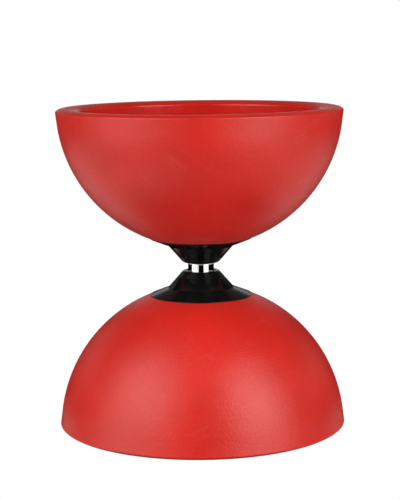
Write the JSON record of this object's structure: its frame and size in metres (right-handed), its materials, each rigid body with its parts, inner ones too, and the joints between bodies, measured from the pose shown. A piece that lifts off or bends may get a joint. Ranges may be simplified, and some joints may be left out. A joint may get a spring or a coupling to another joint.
{
  "type": "diabolo",
  "caption": "Ball-bearing diabolo: two red bowl-shaped cups with thick rims, clamped mouth outwards by black hub cones, with a polished string sleeve that spins freely between them.",
  "frame": {"origin": "middle of the axle, halfway between the two rims and at the centre of the string track", "axes": "+Z along the spin axis, towards the upper cup; X and Y are any two directions across it"},
  "size_m": [0.125, 0.125, 0.1394],
  "materials": {
    "cup_plastic": "red elastomer, satin with a fine moulded grain",
    "hub_plastic": "black nylon, semi-gloss as turned and moulded",
    "sleeve_chrome": "mirror polished",
    "bearing_steel": "ground bearing steel",
    "ball_steel": "polished balls",
    "cage_brass": "machined",
    "bush_aluminium": "turned, natural",
    "zinc_steel": "bright zinc plated",
    "insert_nylon": "natural nylon"
  },
  "bodies": {
    "wheel": {"upper_cup": "cup_plastic", "upper_hub_cone": "hub_plastic", "upper_hub_bush": "bush_aluminium", "upper_bearing_shim": "bearing_steel", "upper_inner_spacer": "bearing_steel", "upper_clamp_plate": "zinc_steel", "upper_plate_washer": "zinc_steel", "upper_lock_nut": "zinc_steel", "upper_nylon_insert": "insert_nylon", "lower_cup": "cup_plastic", "lower_hub_cone": "hub_plastic", "lower_hub_bush": "bush_aluminium", "lower_bearing_shim": "bearing_steel", "lower_inner_spacer": "bearing_steel", "lower_clamp_plate": "zinc_steel", "lower_plate_washer": "zinc_steel", "lower_lock_nut": "zinc_steel", "lower_nylon_insert": "insert_nylon", "axle_rod": "zinc_steel", "upper_bearing_inner_race": "bearing_steel", "middle_bearing_inner_race": "bearing_steel", "lower_bearing_inner_race": "bearing_steel"},
    "sleeve": {"axle_sleeve": "sleeve_chrome", "upper_outer_spacer": "bearing_steel", "lower_outer_spacer": "bearing_steel", "upper_bearing_outer_race": "bearing_steel", "upper_bearing_shields": "bearing_steel", "middle_bearing_outer_race": "bearing_steel", "middle_bearing_shields": "bearing_steel", "lower_bearing_outer_race": "bearing_steel", "lower_bearing_shields": "bearing_steel"},
    "upper_cage": {"upper_bearing_ball_cage": "cage_brass", "upper_bearing_balls": "ball_steel"},
    "middle_cage": {"middle_bearing_ball_cage": "cage_brass", "middle_bearing_balls": "ball_steel"},
    "lower_cage": {"lower_bearing_ball_cage": "cage_brass", "lower_bearing_balls": "ball_steel"}
  },
  "joints": [
    {"name": "sleeve_spin", "type": "hinge", "parent": "wheel", "child": "sleeve", "pos_m": [0, 0, 0], "axis": [0, 0, 1], "continuous": true},
    {"name": "upper_cage_spin", "type": "hinge", "parent": "wheel", "child": "upper_cage", "pos_m": [0, 0, 0.0048], "axis": [0, 0, 1], "continuous": true},
    {"name": "middle_cage_spin", "type": "hinge", "parent": "wheel", "child": "middle_cage", "pos_m": [0, 0, 0], "axis": [0, 0, 1], "continuous": true},
    {"name": "lower_cage_spin", "type": "hinge", "parent": "wheel", "child": "lower_cage", "pos_m": [0, 0, -0.0048], "axis": [0, 0, 1], "continuous": true}
  ],
  "couplings": [
    {"joint": "upper_cage_spin", "follows": "sleeve_spin", "ratio": 0.5714},
    {"joint": "middle_cage_spin", "follows": "sleeve_spin", "ratio": 0.5714},
    {"joint": "lower_cage_spin", "follows": "sleeve_spin", "ratio": 0.5714}
  ]
}
